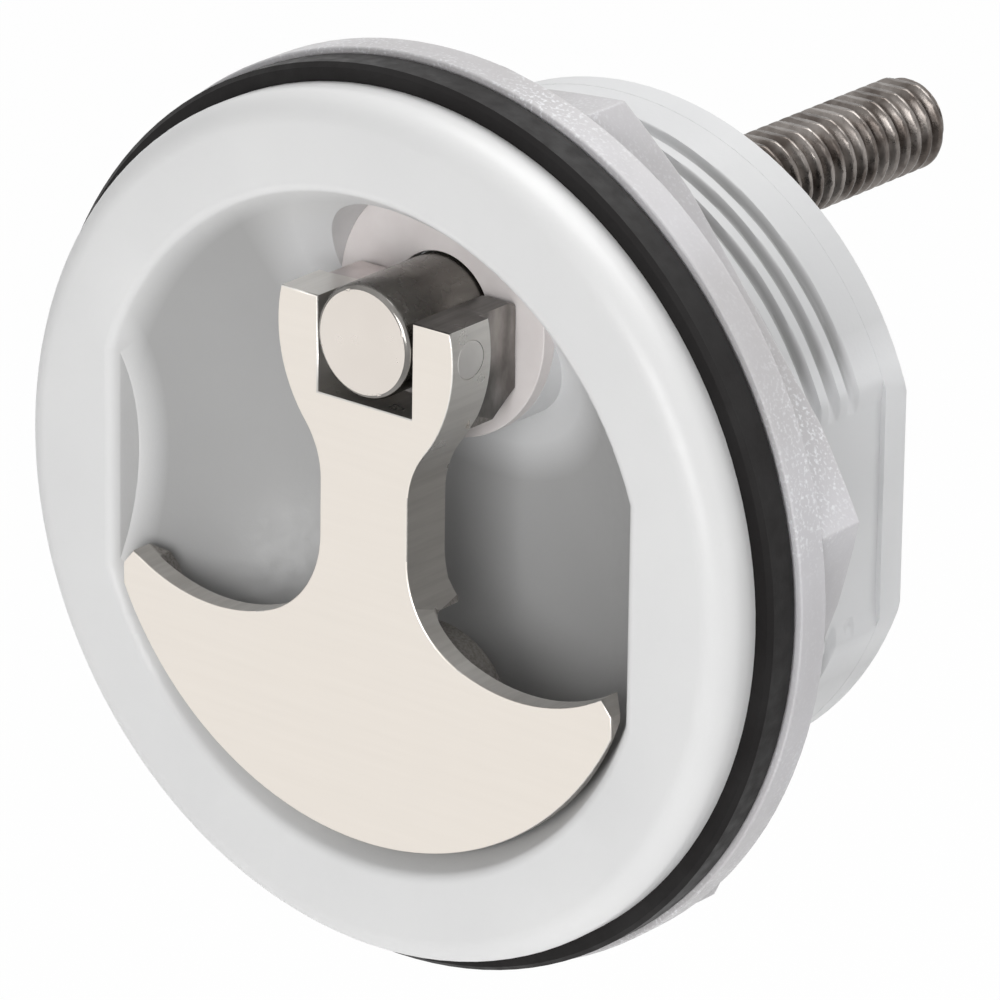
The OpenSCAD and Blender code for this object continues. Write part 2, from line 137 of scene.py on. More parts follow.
def new_node(tree, kind, **values):
    """A node of a kind in a tree, with the given settings."""
    node = tree.nodes.new(kind)
    for name, value in values.items():
        setattr(node, name, value)
    return node


class Finish:
    """A metal, plastic or rubber whose pattern is fixed to the piece by its Object coordinates."""

    def __init__(self, name, metal=0.0):
        self.material = bpy.data.materials.new(name)
        self.material.use_nodes = True
        self.tree = self.material.node_tree
        self.shader = self.tree.nodes["Principled BSDF"]
        self.set("Metallic", metal)
        self.place = self.add("ShaderNodeTexCoord").outputs["Object"]

    def set(self, name, value):
        """A fixed value of the shader."""
        self.shader.inputs[name].default_value = value

    def add(self, kind, **values):
        return new_node(self.tree, kind, **values)

    def link(self, start, end):
        self.tree.links.new(start, end)

    def noise(self, scale, detail=3.0, stretch=None):
        """Cloudy pattern, with `scale` features in a metre, optionally stretched."""
        node = self.add("ShaderNodeTexNoise")
        node.inputs["Scale"].default_value = scale
        node.inputs["Detail"].default_value = detail
        place = self.place
        if stretch:
            mapping = self.add("ShaderNodeMapping")
            mapping.inputs["Scale"].default_value = stretch
            self.link(place, mapping.inputs["Vector"])
            place = mapping.outputs["Vector"]
        self.link(place, node.inputs["Vector"])
        return node.outputs["Fac"]

    def span(self, value, low=NOISE_LOW, high=NOISE_HIGH, to_low=0.0, to_high=1.0):
        """Linear rise from to_low to to_high as the value goes from low to high."""
        node = self.add("ShaderNodeMapRange")
        ends = {"From Min": low, "From Max": high, "To Min": to_low, "To Max": to_high}
        for name, number in ends.items():
            node.inputs[name].default_value = number
        self.link(value, node.inputs["Value"])
        return node.outputs["Result"]

    def fade(self, place, ends, to_low=0.0):
        """Rise from to_low to 1 between two places that are given in millimetres."""
        return self.span(place, ends[0] * MM, ends[1] * MM, to_low)

    def maths(self, kind, a, b=0):
        """One sum of a and b, each a number or a node's output."""
        node = self.add("ShaderNodeMath", operation=kind)
        for socket, value in zip(node.inputs, (a, b)):
            if isinstance(value, (int, float)):
                socket.default_value = value
            else:
                self.link(value, socket)
        return node.outputs[0]

    def product(self, first, *others):
        """All the values multiplied."""
        for other in others:
            first = self.maths("MULTIPLY", first, other)
        return first

    def distance(self, a, b):
        """Root of a squared and b squared."""
        return self.maths("SQRT", self.maths("ADD", self.product(a, a), self.product(b, b)))

    def mix(self, share, first, second):
        """Colour between the first and the second."""
        node = self.add("ShaderNodeMix", data_type="RGBA")
        self.link(share, node.inputs["Factor"])
        for socket, value in zip(("A", "B"), (first, second)):
            target = next(s for s in node.inputs if s.name == socket and s.type == "RGBA")
            if isinstance(value, tuple):
                target.default_value = (*value, 1.0)
            else:
                self.link(value, target)
        return next(s for s in node.outputs if s.type == "RGBA")

    def colour(self, value):
        self.link(value, self.shader.inputs["Base Color"])

    def rough(self, pattern, low, high):
        """Roughness from low to high, by a noise."""
        self.link(self.span(pattern, to_low=low, to_high=high), self.shader.inputs["Roughness"])

    def bump(self, height, depth):
        """Relief `depth` microns deep from a height between 0 and 1."""
        node = self.add("ShaderNodeBump")
        node.inputs["Distance"].default_value = depth * MICRON
        self.link(height, node.inputs["Height"])
        self.link(node.outputs["Normal"], self.shader.inputs["Normal"])

    def parts(self):
        """Object coordinates x, y and z, in metres of the row."""
        node = self.add("ShaderNodeSeparateXYZ")
        self.link(self.place, node.inputs[0])
        return node.outputs


def recess_painted_shade(f, x, y, z):
    """Share of the recess's painted shade, a darker colour that stands in for shade, from the row's
    x, y and z: full in the bowl, less on the land round the shaft, and none on the flange and
    beyond the two straight sides."""
    above_shaft = f.maths("SUBTRACT", z, SHAFT_Y * MM)
    return f.product(
        f.fade(f.distance(x, z), PAINTED_SHADE_REACH),
        f.fade(y, PAINTED_SHADE_DEPTH),
        f.fade(f.maths("ABSOLUTE", x), PAINTED_SHADE_SIDE),
        f.fade(f.distance(x, above_shaft), PAINTED_SHADE_LAND, LAND_SHADE_SHARE),
    )


def white_plastic():
    """Moulded plastic: fine grain, faint clouds of colour, cooler behind the panel, and painted
    darker inside the recess as painted shade."""
    f = Finish("moulded_white")
    f.set("Specular IOR Level", 0.4)
    clouds = f.span(f.noise(60, 2))
    front = f.mix(clouds, (0.80, 0.80, 0.80), (0.835, 0.835, 0.832))
    back = f.mix(clouds, (0.80, 0.805, 0.815), (0.85, 0.855, 0.86))
    painted_shade_grey = f.mix(clouds, (0.45, 0.45, 0.45), (0.48, 0.48, 0.478))
    x, y, z = f.parts()
    outside = f.mix(f.fade(y, (-4.0, -2.0)), front, back)
    # Inside the recess the colour is painted darker: painted shade
    f.colour(f.mix(recess_painted_shade(f, x, y, z), outside, painted_shade_grey))
    f.rough(f.noise(900, 2), 0.32, 0.42)
    f.bump(f.noise(2600, 3), 12)
    return f.material


def wear_plastic():
    """Pinkish bearing plastic with fine marks of rubbing."""
    f = Finish("bearing_plastic")
    marks = f.span(f.noise(260, 4), 0.35, 0.65)
    f.colour(f.mix(marks, (0.72, 0.675, 0.665), (0.77, 0.73, 0.72)))
    f.rough(f.noise(1500, 2), 0.38, 0.52)
    f.bump(f.noise(4200, 2), 8)
    return f.material


def nut_plastic():
    """Translucent nylon: pinkish grey with paler clouds, and fine pale specks in patches."""
    f = Finish("cloudy_nylon")
    f.set("Subsurface Weight", 0.3)
    f.set("Subsurface Radius", (1.0, 1.0, 1.0))
    f.set("Subsurface Scale", 1.5 * MM)
    clouds = f.span(f.noise(40, 3), 0.35, 0.65)
    body = f.mix(clouds, (0.53, 0.515, 0.52), (0.64, 0.63, 0.65))
    patches = f.span(f.noise(60, 2), 0.45, 0.65, 0.1, 0.8)
    specks = f.span(f.noise(3000, 2), 0.52, 0.7)
    f.colour(f.mix(f.product(specks, patches), body, (0.90, 0.91, 0.93)))
    f.rough(f.noise(500, 3), 0.3, 0.5)
    f.bump(f.noise(900, 4), 20)
    return f.material


def black_rubber():
    """Moulded rubber, a little greyer where it has been rubbed."""
    f = Finish("moulded_rubber")
    f.set("Specular IOR Level", 0.18)
    rubbed = f.span(f.noise(120, 5), 0.4, 0.7)
    f.colour(f.mix(rubbed, (0.007, 0.006, 0.006), (0.014, 0.013, 0.013)))
    f.rough(f.noise(700, 4), 0.42, 0.62)
    f.bump(f.noise(3000, 3), 10)
    return f.material


def polished_face():
    """Satin face of the handle, polished along x, with faint streaks."""
    f = Finish("polished_face", 1.0)
    streaks = f.noise(1400, 3, ALONG_X)
    f.colour(f.mix(f.span(streaks), (0.82, 0.765, 0.70), (0.835, 0.78, 0.715)))
    f.rough(f.noise(300, 3), 0.28, 0.34)
    f.bump(streaks, 1.5)
    return f.material


def cast_colour(f):
    """Dark and light grains of a sand-rough casting: their pattern and their colour."""
    grains = f.noise(3800, 4)
    shades = f.mix(f.span(grains, 0.35, 0.68), (0.24, 0.226, 0.21), (0.40, 0.38, 0.356))
    return grains, shades


def ground_side():
    """Sides of the handle: ground along the blade's edge, and rough cast behind the blade."""
    f = Finish("ground_side", 1.0)
    streaks = f.span(f.noise(1800, 3, ALONG_Z), 0.35, 0.65)
    ground = f.mix(streaks, (0.62, 0.595, 0.56), (0.70, 0.675, 0.64))
    grains, cast = cast_colour(f)
    blade_back = -HANDLE_FRONT + BLADE_T
    behind = f.fade(f.parts()["Y"], (blade_back, blade_back + 0.3))
    f.colour(f.mix(behind, ground, cast))
    f.link(f.span(behind, 0, 1, 0.3, 0.55), f.shader.inputs["Roughness"])
    f.bump(f.product(grains, behind), 40)
    return f.material


def stem_side():
    """Ground sides of the stem and fork; the fork's sides are painted brighter, a painted sheen."""
    f = Finish("stem_side", 0.85)
    streaks = f.noise(1800, 3, ALONG_Z)
    shine = f.span(streaks, 0.35, 0.65)
    stem = f.mix(shine, (0.44, 0.42, 0.395), (0.50, 0.48, 0.45))
    fork = f.mix(shine, (0.78, 0.76, 0.725), (0.84, 0.82, 0.785))
    # The fork's sides are painted brighter than the stem's, as painted sheen
    f.colour(f.mix(f.fade(f.parts()["Z"], (6.0, 15.0)), stem, fork))
    f.rough(f.noise(400, 4), 0.26, 0.38)
    f.bump(streaks, 3)
    return f.material


def rough_cast():
    """Back and boss of the handle, as cast."""
    f = Finish("rough_cast", 1.0)
    grains, cast = cast_colour(f)
    f.colour(cast)
    f.rough(grains, 0.45, 0.65)
    f.bump(grains, 50)
    return f.material


def fork_top():
    """Ground top of the right prong, painted dark as a painted reflection of the dark shaft."""
    f = Finish("fork_top", 1.0)
    streaks = f.noise(1800, 3, ALONG_Z)
    f.colour(f.mix(f.span(streaks), (0.09, 0.086, 0.08), (0.15, 0.144, 0.135)))
    f.rough(f.noise(400, 4), 0.26, 0.38)
    f.bump(streaks, 3)
    return f.material


def cam_steel():
    """Smooth sides and tops of the cams: dark clouds, and on the left cam beside the disc a paler
    pink, a painted reflection of the disc.
    """
    f = Finish("cam_steel", 1.0)
    clouds = f.span(f.noise(330, 4, CAM_CLOUDS), 0.36, 0.66)
    dark = f.mix(clouds, (0.15, 0.142, 0.135), (0.42, 0.40, 0.38))
    pale_painted_reflection = f.mix(clouds, (0.62, 0.575, 0.565), (0.72, 0.675, 0.665))
    # The left cam is painted paler, as a painted reflection of the pink disc
    f.colour(f.mix(f.fade(f.parts()["X"], (-1.0, -3.0)), dark, pale_painted_reflection))
    f.rough(f.noise(500, 4), 0.28, 0.46)
    f.bump(f.noise(3000, 3), 10)
    return f.material


def ground_pin():
    """Ends of the pivot pin, ground flush with the fork."""
    f = Finish("ground_pin", 1.0)
    f.colour(f.mix(f.span(f.noise(500, 3)), (0.90, 0.88, 0.85), (0.95, 0.93, 0.90)))
    f.rough(f.noise(900, 3), 0.28, 0.38)
    f.bump(f.noise(1800, 3), 3)
    return f.material


def shaft_face():
    """Polished front face of the shaft, with faint clouds."""
    f = Finish("turned_steel", 1.0)
    f.colour(f.mix(f.span(f.noise(120, 3)), (0.75, 0.695, 0.64), (0.79, 0.735, 0.68)))
    f.rough(f.noise(500, 3), 0.2, 0.28)
    f.bump(f.noise(1500, 3, TURNING_MARKS), 1.5)
    return f.material


def shaft_side_painted_dark():
    """Side of the shaft: steel painted dark as a painted reflection of dark surroundings, paler in
    streaks along it.
    """
    f = Finish("shaft_side_painted_dark", 1.0)
    streaks = f.span(f.noise(260, 4, SHAFT_STREAKS), 0.35, 0.65)
    f.colour(f.mix(streaks, (0.11, 0.103, 0.094), (0.25, 0.24, 0.222)))
    f.rough(f.noise(700, 3), 0.2, 0.32)
    f.bump(f.noise(1500, 3, TURNING_MARKS), 3)
    return f.material


def shaft_edge_painted_dark():
    """Rounded front edge of the shaft, painted dark as a painted reflection of a dark room beside
    the lamps.
    """
    f = Finish("shaft_edge_painted_dark", 1.0)
    clouds = f.span(f.noise(300, 3), 0.35, 0.65)
    f.colour(f.mix(clouds, (0.17, 0.162, 0.152), (0.27, 0.259, 0.245)))
    f.rough(f.noise(700, 3), 0.12, 0.2)
    f.bump(f.noise(1500, 3), 2)
    return f.material


def rod_steel():
    """Rolled thread: greyer and browner than the shaft, darker in patches."""
    f = Finish("rod_steel", 1.0)
    patches = f.span(f.noise(330, 5), 0.38, 0.64)
    f.colour(f.mix(patches, (0.10, 0.085, 0.076), (0.27, 0.248, 0.232)))
    f.rough(f.noise(1200, 3), 0.22, 0.38)
    f.bump(f.noise(3000, 3), 8)
    return f.material


def spring_steel():
    """Drawn wire and stamped steel."""
    f = Finish("drawn_steel", 1.0)
    clouds = f.span(f.noise(500, 4), 0.35, 0.65)
    f.colour(f.mix(clouds, (0.42, 0.42, 0.42), (0.56, 0.56, 0.55)))
    f.rough(f.noise(1500, 3), 0.25, 0.4)
    f.bump(f.noise(3500, 3), 8)
    return f.material


# Shapes ---------------------------------------------------------------------------------------

# Degrees past which a shaded edge stays sharp, for most pieces and for the curved threads and wire
SHARP, SHARP_ROD, SHARP_BARREL, SHARP_WIRE = 30.0, 42.0, 40.0, 50.0
# Degrees past which an outer edge is rounded, and the segments of its rounding
ROUND_PAST, ROUND_SEGMENTS = 35.0, 3
# Radii of rounded edges, in millimetres
EDGE_SMALL, EDGE_HANDLE, EDGE_NUT = 0.12, 0.16, 0.2
# Metres within which the corners of loose CAD triangles are one
WELD = 1e-6
# Millimetres within which a point of the CAD mesh lies on a surface
NEAR = 0.02


def eased(share):
    """Smooth step from 0 to 1, level at both ends: 3 s squared less 2 s cubed."""
    return share * share * (3 - 2 * share)


def finish_piece(name, mesh, materials, body, sharp=SHARP):
    """Links a mesh as an object that rides on a body, smooth up to the sharp angle."""
    stored = mesh.attributes.get("custom_normal")
    if stored:
        mesh.attributes.remove(stored)
    mesh.update()
    mesh.shade_smooth()
    mesh.set_sharp_from_angle(angle=math.radians(sharp))
    for material in materials:
        mesh.materials.append(material)
    piece = bpy.data.objects.new(name, mesh)
    bpy.context.scene.collection.objects.link(piece)
    if body:
        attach(piece, body)
    return piece


def new_piece(name, points, faces, materials, body, sharp=SHARP):
    """A piece from points in millimetres of the latch."""
    mesh = bpy.data.meshes.new(name)
    mesh.from_pydata(row(points), [], faces)
    return finish_piece(name, mesh, materials, body, sharp)


def grid_faces(rows, columns):
    """Quads of a grid of points numbered along each row, the rows closed on themselves."""
    a = np.arange(rows - 1)[:, None] * columns
    b = np.arange(columns)[None, :]
    c = (b + 1) % columns
    quads = np.stack([a + b, a + c, a + columns + c, a + columns + b], axis=-1)
    return quads.reshape(-1, 4).tolist()


def end_caps(rows, columns):
    """The corners of the grid's first and last row, in the order of the rows."""
    last = (rows - 1) * columns
    return list(range(columns)), list(range(last, last + columns))


def merged(node):
    """A copy of a CAD node's mesh with its doubles merged."""
    work = bmesh.new()
    work.from_mesh(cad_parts[node].data)
    bmesh.ops.remove_doubles(work, verts=work.verts, dist=WELD)
    return work


def to_mesh(work, name):
    """The finished mesh of a working copy, which is freed."""
    mesh = bpy.data.meshes.new(name)
    work.to_mesh(mesh)
    work.free()
    return mesh


def mark_edges(work, chosen):
    """Gives a bevel weight to the steep edges for which chosen(edge) is true."""
    rounded = work.edges.layers.float.new("bevel_weight_edge")
    for edge in work.edges:
        if chosen(edge) and edge.calc_face_angle(0) > math.radians(ROUND_PAST):
            edge[rounded] = 1.0


def soften(piece, width):
    """Rounds the edges that carry a bevel weight, width in millimetres."""
    bevel = piece.modifiers.new("round_edges", "BEVEL")
    bevel.width = width * MM
    bevel.segments = ROUND_SEGMENTS
    bevel.limit_method = "WEIGHT"
    bevel.use_clamp_overlap = False
    bevel.harden_normals = True
    bevel.miter_outer = "MITER_ARC"


def dress(node, name, material, body, edge=0.0):
    """A merged copy of a CAD node in its finish, with its outer edges softened."""
    work = merged(node)
    mark_edges(work, lambda line: line.is_convex)
    piece = finish_piece(name, to_mesh(work, name), [material], body)
    if edge:
        soften(piece, edge)
    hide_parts(node)


# The cams' squared corners: along x, and in y and z from the pin's axis
CAM_IN, CAM_OUT = 5.13, 8.07
CAM_BACK, CAM_TOP, CAM_LOW = -7.48, 2.85, -4.0
CAM_FRONT = -0.5
CAM_CORNER, CORNER_STEPS = 1.0, 9
# Keeps the corner's back off the plane of the CAD cam's
CAM_LEAN = 0.01


def cam_corner(work):
    """Squared corners of the two cams: a rounded rectangle in y and z, carried along x."""
    turn = np.linspace(-90, 0, CORNER_STEPS)[:, None] * math.pi / 180
    arc = np.concatenate([np.cos(turn), np.sin(turn)], axis=1) * CAM_CORNER
    arc += [CAM_TOP - CAM_CORNER, CAM_BACK + CAM_CORNER]
    low = [[CAM_LOW, CAM_BACK + CAM_LEAN]]
    front = [[CAM_TOP, CAM_FRONT], [CAM_LOW, CAM_FRONT]]
    outline = np.concatenate([low, arc, front]) + [SHAFT_Y, PIN_Z]
    for side in (-1, 1):
        ends = []
        for x in (CAM_IN, CAM_OUT):
            points = row(np.column_stack([np.full(len(outline), side * x), outline]))
            ends.append([work.verts.new(point) for point in points])
            work.faces.new(ends[-1])
        for n in range(len(outline)):
            m = (n + 1) % len(outline)
            work.faces.new([ends[0][n], ends[0][m], ends[1][m], ends[1][n]])


# The handle's finishes, in the order of its materials
FACE, GROUND, STEM, CAST, PAINTED_PRONG, CAM = range(6)

# How far behind the handle's front each finish begins or ends
FACE_DEPTH = 0.5
GROUND_DEPTH = 4.2
CAM_DEPTH = 5.0
STEM_DEPTH = 5.2
# Half width and lower end of the stem and fork
STEM_HALF, STEM_LOW = 10.0, -5.5
# Inner side and lower end of the right prong's top, which takes the painted dark reflection
PRONG_IN, PRONG_LOW = CAM_IN - 0.7, SHAFT_Y + 1
# Inner side and lower end of the cams
CAM_SIDE, CAM_END = CAM_IN - 0.1, SHAFT_Y + CAM_LOW - 2


def handle_finish(face):
    """Which finish a face of the handle has, by where it lies and which way it looks."""
    at = face.calc_center_median() / MM
    x, y, depth = at.x, at.z, HANDLE_FRONT + at.y
    forwards, upwards = -face.normal.y, face.normal.z
    if forwards > 0.9 and depth < FACE_DEPTH:
        return FACE
    # The right prong's top takes a painted reflection of the dark shaft
    if upwards > 0.5 and x > PRONG_IN and y > PRONG_LOW:
        return PAINTED_PRONG
    if depth > CAM_DEPTH and abs(x) > CAM_SIDE and y > CAM_END:
        return CAM
    if abs(forwards) < 0.5 and abs(x) < STEM_HALF and y > STEM_LOW and depth < STEM_DEPTH:
        return STEM
    if abs(forwards) < 0.5 and depth < GROUND_DEPTH:
        return GROUND
    return CAST


def on_front_outline(edge):
    """Whether an edge divides the polished face from another finish."""
    sides = {face.material_index for face in edge.link_faces}
    return FACE in sides and len(sides) > 1


def make_handle():
    """The handle with its cams' squared corners, each face in its own finish."""
    work = merged("handle")
    cam_corner(work)
    bmesh.ops.recalc_face_normals(work, faces=work.faces)
    for face in work.faces:
        face.material_index = handle_finish(face)
    mark_edges(work, on_front_outline)
    materials = [polished_face(), ground_side(), stem_side(), rough_cast(), fork_top(), cam_steel()]
    mesh = to_mesh(work, "handle_cast")
    piece = finish_piece("handle_cast", mesh, materials, "handle")
    soften(piece, EDGE_HANDLE)
    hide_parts("handle")


# Thread of the rod: one crest's height and its turn about the shaft fix all the others
PITCH = 1.5875
CREST_Z, CREST_TURN = -44.42, math.radians(68.4)
THREAD_DEPTH = 0.92
# How far from the crest the root begins and how wide the flank is, as shares of half a pitch
ROOT_FROM, FLANK = 0.95, 0.78
# How far the profile is eased at crest and root
CREST_EASE = 0.35
# Rise of the tip's cone with z, and how far the rod runs into the shaft
TIP_SLOPE, ROD_SUNK = 0.9, 0.1
ROD_ROWS, ROD_SIDES = 411, 96
TINY = 1e-6


def thread_rod():
    """Rod: r(turn, z) is the smaller of the thread's rounded ridge, the flat's distance
    h / |sin turn| and the bevel's cone at the tip, where the ridge rises with z and follows a
    right-hand screw."""
    z = np.linspace(ROD_BACK, SHAFT_BACK + ROD_SUNK, ROD_ROWS)[:, None]
    turn = np.linspace(0, 2 * np.pi, ROD_SIDES + 1)[None, :-1]
    phase = (z - CREST_Z) / PITCH - (turn - CREST_TURN) / (2 * np.pi)
    away = np.abs(phase - np.round(phase)) * 2
    ridge = np.clip((ROOT_FROM - away) / FLANK, 0, 1)
    ridge = eased(ridge) * CREST_EASE + ridge * (1 - CREST_EASE)
    radius = ROD_R - THREAD_DEPTH * (1 - ridge)
    radius = np.minimum(radius, ROD_FLAT / np.maximum(np.abs(np.sin(turn)), TINY))
    radius = np.minimum(radius, ROD_R - ROD_BEVEL + (z - ROD_BACK) * TIP_SLOPE)
    across, up = radius * np.cos(turn), radius * np.sin(turn) + SHAFT_Y
    points = np.stack([across, up, z + 0 * turn], axis=-1)
    faces = [corners[::-1] for corners in grid_faces(*radius.shape)]
    tip, root = end_caps(*radius.shape)
    return points.reshape(-1, 3), faces + [tip, root[::-1]]


# How squarely a face of the shaft looks forwards at least, on its front face and on its edge; the
# edge and the side are painted dark as painted reflection
LOOKS_FRONT, LOOKS_EDGE = 0.97, 0.1
# How far behind the shaft's rear end the plain rod is cut off, so that the end's face stays
CUT_BEHIND = 0.02


def make_spindle():
    """The CAD shaft down to its rear end, and the threaded rod in place of the plain one."""
    front_face, side, rod, edge = range(4)
    work = merged("spindle")
    cut = -(SHAFT_BACK - CUT_BEHIND) * MM
    behind = [face for face in work.faces if face.calc_center_median().y > cut]
    bmesh.ops.delete(work, geom=behind, context="FACES")
    open_edges = [line for line in work.edges if line.is_boundary]
    bmesh.ops.holes_fill(work, edges=open_edges, sides=0)
    bmesh.ops.recalc_face_normals(work, faces=work.faces)
    # Side and edge faces take steels painted dark, as painted reflection; the front face keeps the
    # polished steel
    for face in work.faces:
        forwards = -face.normal.y
        out_of_panel = face.calc_center_median().y < 0
        if forwards > LOOKS_FRONT:
            face.material_index = front_face
        elif forwards > LOOKS_EDGE and out_of_panel:
            face.material_index = edge
        else:
            face.material_index = side
    points, faces = thread_rod()
    verts = [work.verts.new(point) for point in row(points)]
    for corners in faces:
        work.faces.new([verts[n] for n in corners]).material_index = rod
    piece = finish_piece("threaded_spindle", to_mesh(work, "threaded_spindle"),
                         [shaft_face(), shaft_side_painted_dark(), rod_steel(), shaft_edge_painted_dark()],
                         "spindle", SHARP_ROD)
    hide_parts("spindle")


# Thread of the barrel, on a sleeve over the drawn-in skin of the CAD barrel
BARREL_PITCH = 2.6
GROOVE_Z, GROOVE_TURN = -22.25, math.radians(22.0)
# Half the width of a groove's bottom, and the width of its flank
GROOVE_HALF, GROOVE_FLANK = 0.3, 0.5
# Radius at the bottom of a groove, and half the distance between the flats there
GROOVE_ROOT, ROOT_FLAT = 29.7, BARREL_FLAT - BAND_STEP
# Half the distance between the ridges' own flats, and how far above the middle the ridges end
RIDGE_FLAT, RIDGE_END = 28.35, 9.4
# How far the crests lie inside the CAD barrel's radius, how far the CAD skin is drawn in, and
# the sleeve's thickness under its root
CREST_IN, SKIN_IN, SLEEVE_T = 0.02, 0.7, 0.6
# In front of this height the sleeve is plain
SLEEVE_FRONT = -4.0
SLEEVE_ROWS, SLEEVE_SIDES = 241, 240
# Radians on either side of a ridge's end where the grid has one more column, for a steep fall
END_STEP = 0.002


def make_housing(material):
    """The CAD housing, its barrel's skin drawn in under the sleeve that carries the thread."""
    work = merged("housing")
    for vert in work.verts:
        x, y, z = vert.co.x / MM, vert.co.z / MM, -vert.co.y / MM
        reach = math.hypot(x, y)
        on_flat = abs(abs(x) - ROOT_FLAT) < NEAR and reach < BARREL_R - BAND_STEP + NEAR
        on_round = abs(reach - (BARREL_R - BAND_STEP)) < NEAR
        if BAND_FRONT - NEAR < z < FLANGE_BACK + NEAR and (on_flat or on_round):
            share = 1 - SKIN_IN / reach
            vert.co.x *= share
            vert.co.z *= share
    mesh = to_mesh(work, "moulded_housing")
    piece = finish_piece("moulded_housing", mesh, [material], "housing")
    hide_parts("housing")


def sleeve_turns():
    """Angles round the sleeve: even steps, and the corners of the flats and of the ridges' ends."""
    ridge_end = math.asin(RIDGE_END / BARREL_R)
    corners = [ridge_end, math.acos(RIDGE_FLAT / BARREL_R), math.acos(ROOT_FLAT / GROOVE_ROOT),
               ridge_end - END_STEP, ridge_end + END_STEP]
    marks = [side * corner + half
             for corner in corners for side in (-1, 1) for half in (0, math.pi)]
    steps = np.linspace(0, 2 * np.pi, SLEEVE_SIDES + 1)[:-1]
    return np.unique(np.concatenate([steps, np.mod(marks, 2 * np.pi)]))


def barrel_thread(material):
    """Thread of the barrel: r(turn, z) is the root's outline plus a share of the ridge's height,
    which falls to nothing in each groove of a right-hand screw and in the middle of the two
    flats. The sleeve's inner wall follows the root's outline."""
    turn = sleeve_turns()[None, :]
    z = np.linspace(BAND_FRONT, FLANGE_BACK, SLEEVE_ROWS)[:, None]
    screw = (turn - GROOVE_TURN) / (2 * np.pi)
    phase = (z - GROOVE_Z) / BARREL_PITCH - screw
    groove = np.round(phase)
    away = np.abs(phase - groove) * BARREL_PITCH
    groove_z = GROOVE_Z + (groove + screw) * BARREL_PITCH
    is_cut = (groove_z > GROOVE_Z - GROOVE_HALF) & (z < SLEEVE_FRONT)
    height = np.where(is_cut, eased(np.clip((away - GROOVE_HALF) / GROOVE_FLANK, 0, 1)), 1)
    wide = np.maximum(np.abs(np.cos(turn)), TINY)
    root = np.minimum(GROOVE_ROOT, ROOT_FLAT / wide)
    crest = np.maximum(np.minimum(BARREL_R - CREST_IN, RIDGE_FLAT / wide), root)
    crest = np.where(np.abs(np.sin(turn)) * crest > RIDGE_END, crest, root)
    outer = root + (crest - root) * height
    ring = np.stack([np.cos(turn), np.sin(turn), 0 * turn], axis=-1)
    shell = outer[..., None] * ring + np.stack([0 * z, 0 * z, z], axis=-1)
    inner = (root - SLEEVE_T)[..., None] * ring
    points = np.concatenate([inner + [0, 0, BAND_FRONT], shell, inner + [0, 0, FLANGE_BACK]])
    rows, columns = points.shape[:2]
    first, last = end_caps(rows, columns)
    wall = zip(last, last[1:] + last[:1], first[1:] + first[:1], first)
    faces = grid_faces(rows, columns) + [list(corners) for corners in wall]
    new_piece("barrel_thread", points.reshape(-1, 3), faces, [material],
              "housing", SHARP_BARREL)


WIRE_R, COIL_R, TURNS = 0.7, 6.3, 6
# Height of an end turn's middle over the spring's flat end, as a share of the wire's radius
END_LIFT = 0.6
COIL_STEPS, WIRE_SIDES = 60, 16


def coil_spring(material):
    """Wire of radius WIRE_R along a coil whose end turns are closed, its two ends ground flat."""
    length = SPRING_FRONT - SPRING_BACK
    lift = END_LIFT * WIRE_R
    top = length - 2 * lift
    turns = np.linspace(0, TURNS, COIL_STEPS * TURNS + 1)[:, None]
    first_turn = 2 * WIRE_R * turns
    last_turn = top - 2 * WIRE_R * (TURNS - turns)
    middle = 2 * WIRE_R + (top - 4 * WIRE_R) / (TURNS - 2) * (turns - 1)
    height = np.where(turns < 1, first_turn, np.where(turns > TURNS - 1, last_turn, middle)) + lift
    round_wire = np.linspace(0, 2 * np.pi, WIRE_SIDES + 1)[None, :-1]
    radius = COIL_R + WIRE_R * np.cos(round_wire)
    z = np.clip(height + WIRE_R * np.sin(round_wire), 0, length) + SPRING_BACK
    angle = 2 * np.pi * turns
    points = np.stack([radius * np.cos(angle), radius * np.sin(angle) + SHAFT_Y, z], axis=-1)
    rows, columns = points.shape[:2]
    start, end = end_caps(rows, columns)
    faces = grid_faces(rows, columns) + [start[::-1], end]
    piece = new_piece("coil_spring", points.reshape(-1, 3), faces, [material],
                      None, SHARP_WIRE)
    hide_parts("return_spring")
    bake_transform(piece)


# Stage ----------------------------------------------------------------------------------------

# The floor's height and half width in metres, and how much of it shows as plain white
FLOOR_Z, FLOOR_HALF, FLOOR_GLOW = -0.11, 3.0, 0.97
# Level of the world's light on the object, where white is 1
FILL = 0.12
# The point that the lamps look at, in metres of the row
LAMP_AIM = (0, 0.01, 0)


def any_ray(tree, first, *others):
    """1 for a ray of any of the named kinds, and 0 for the rest."""
    rays = new_node(tree, "ShaderNodeLightPath")
    value = rays.outputs[first]
    for other in others:
        either = new_node(tree, "ShaderNodeMath", operation="MAXIMUM")
        tree.links.new(value, either.inputs[0])
        tree.links.new(rays.outputs[other], either.inputs[1])
        value = either.outputs[0]
    return value


def floor_paper():
    """Pale paper that shows as white to the camera and to gloss, and keeps some shadow."""
    material = bpy.data.materials.new("floor_paper")
    material.use_nodes = True
    tree = material.node_tree
    shader = tree.nodes["Principled BSDF"]
    shader.inputs["Base Color"].default_value = (0.9, 0.9, 0.9, 1)
    shader.inputs["Roughness"].default_value = 0.8
    glow = new_node(tree, "ShaderNodeEmission")
    share = new_node(tree, "ShaderNodeMath", operation="MULTIPLY")
    share.inputs[1].default_value = FLOOR_GLOW
    blend = new_node(tree, "ShaderNodeMixShader")
    tree.links.new(any_ray(tree, "Is Camera Ray", "Is Glossy Ray"), share.inputs[0])
    tree.links.new(share.outputs[0], blend.inputs[0])
    tree.links.new(shader.outputs[0], blend.inputs[1])
    tree.links.new(glow.outputs[0], blend.inputs[2])
    tree.links.new(blend.outputs[0], tree.nodes["Material Output"].inputs["Surface"])
    return material


